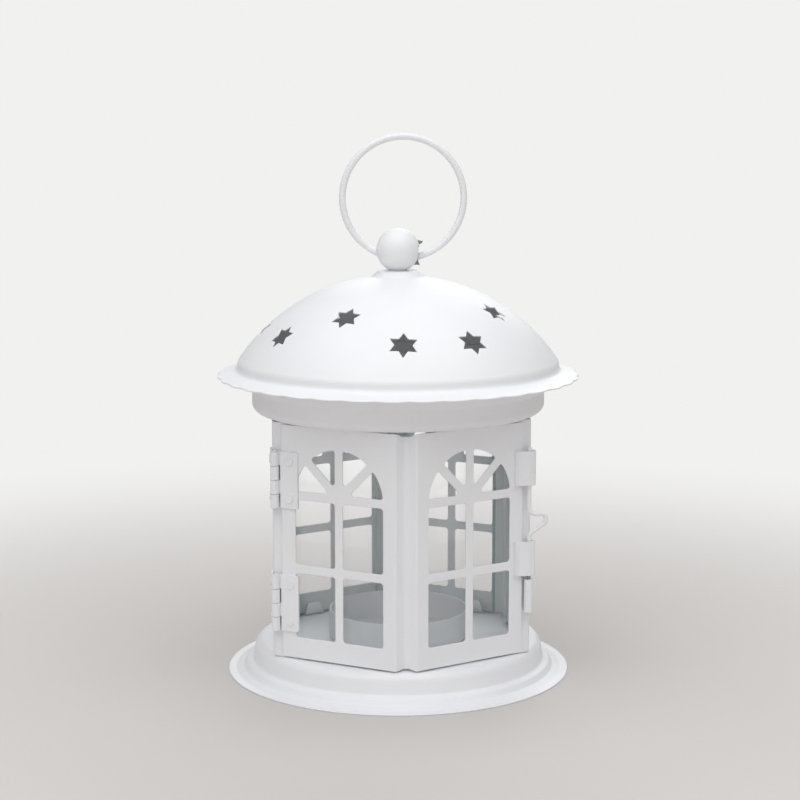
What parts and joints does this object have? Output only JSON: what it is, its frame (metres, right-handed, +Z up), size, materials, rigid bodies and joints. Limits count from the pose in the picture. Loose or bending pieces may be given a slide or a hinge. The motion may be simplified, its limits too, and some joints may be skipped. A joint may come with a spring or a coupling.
{
  "type": "candle lantern",
  "caption": "Hexagonal white metal candle lantern with arched glass windows, a hinged door with a sliding bolt, a star-pierced domed roof and a hanging ring",
  "frame": {"origin": "middle of the base's round rim, on the table", "axes": "+Z up along the lantern's axis, the fold of the door faces -Y, the hinges are at -X"},
  "size_m": [0.1086, 0.1086, 0.1626],
  "materials": {
    "white_paint": "satin white paint on sheet steel",
    "clear_glass": "clear window glass with a faint green edge",
    "steel_wire": "plain steel wire, paint rubbed off"
  },
  "bodies": {
    "frame": {"base_dish": "white_paint", "candle_cup": "white_paint", "cup_rivet": "white_paint", "collar_pan": "white_paint", "roof_dome": "white_paint", "finial_ball": "white_paint", "cage_sheet_left": "white_paint", "cage_sheet_right": "white_paint", "rear_seam_rivets": "white_paint", "cage_pane_left_side": "clear_glass", "cage_pane_left_rear": "clear_glass", "cage_pane_right_rear": "clear_glass", "cage_pane_right_side": "clear_glass", "upper_hinge_side_leaf": "white_paint", "lower_hinge_side_leaf": "white_paint", "upper_hinge_pin": "steel_wire", "lower_hinge_pin": "steel_wire", "side_hinge_rivets": "white_paint", "bolt_keeper": "white_paint"},
    "door": {"door_sheet": "white_paint", "door_pane_left": "clear_glass", "door_pane_right": "clear_glass", "upper_hinge_door_leaf": "white_paint", "lower_hinge_door_leaf": "white_paint", "door_hinge_rivets": "white_paint", "upper_bolt_strap": "white_paint", "lower_bolt_strap": "white_paint"},
    "bolt": {"slide_bolt": "white_paint"},
    "ring": {"hanging_ring": "white_paint"}
  },
  "joints": [
    {"name": "door_swing", "type": "hinge", "parent": "frame", "child": "door", "pos_m": [-0.03735, -0.02376, 0.045], "axis": [0, 0, -1], "range_deg": [0, 210]},
    {"name": "bolt_slide", "type": "slide", "parent": "door", "child": "bolt", "axis": [0, 0, 1], "range_m": [0, 0.007]},
    {"name": "ring_swing", "type": "hinge", "parent": "frame", "child": "ring", "pos_m": [0, 0, 0.12696], "axis": [1, 0, 0], "range_deg": [-110, 110]}
  ]
}
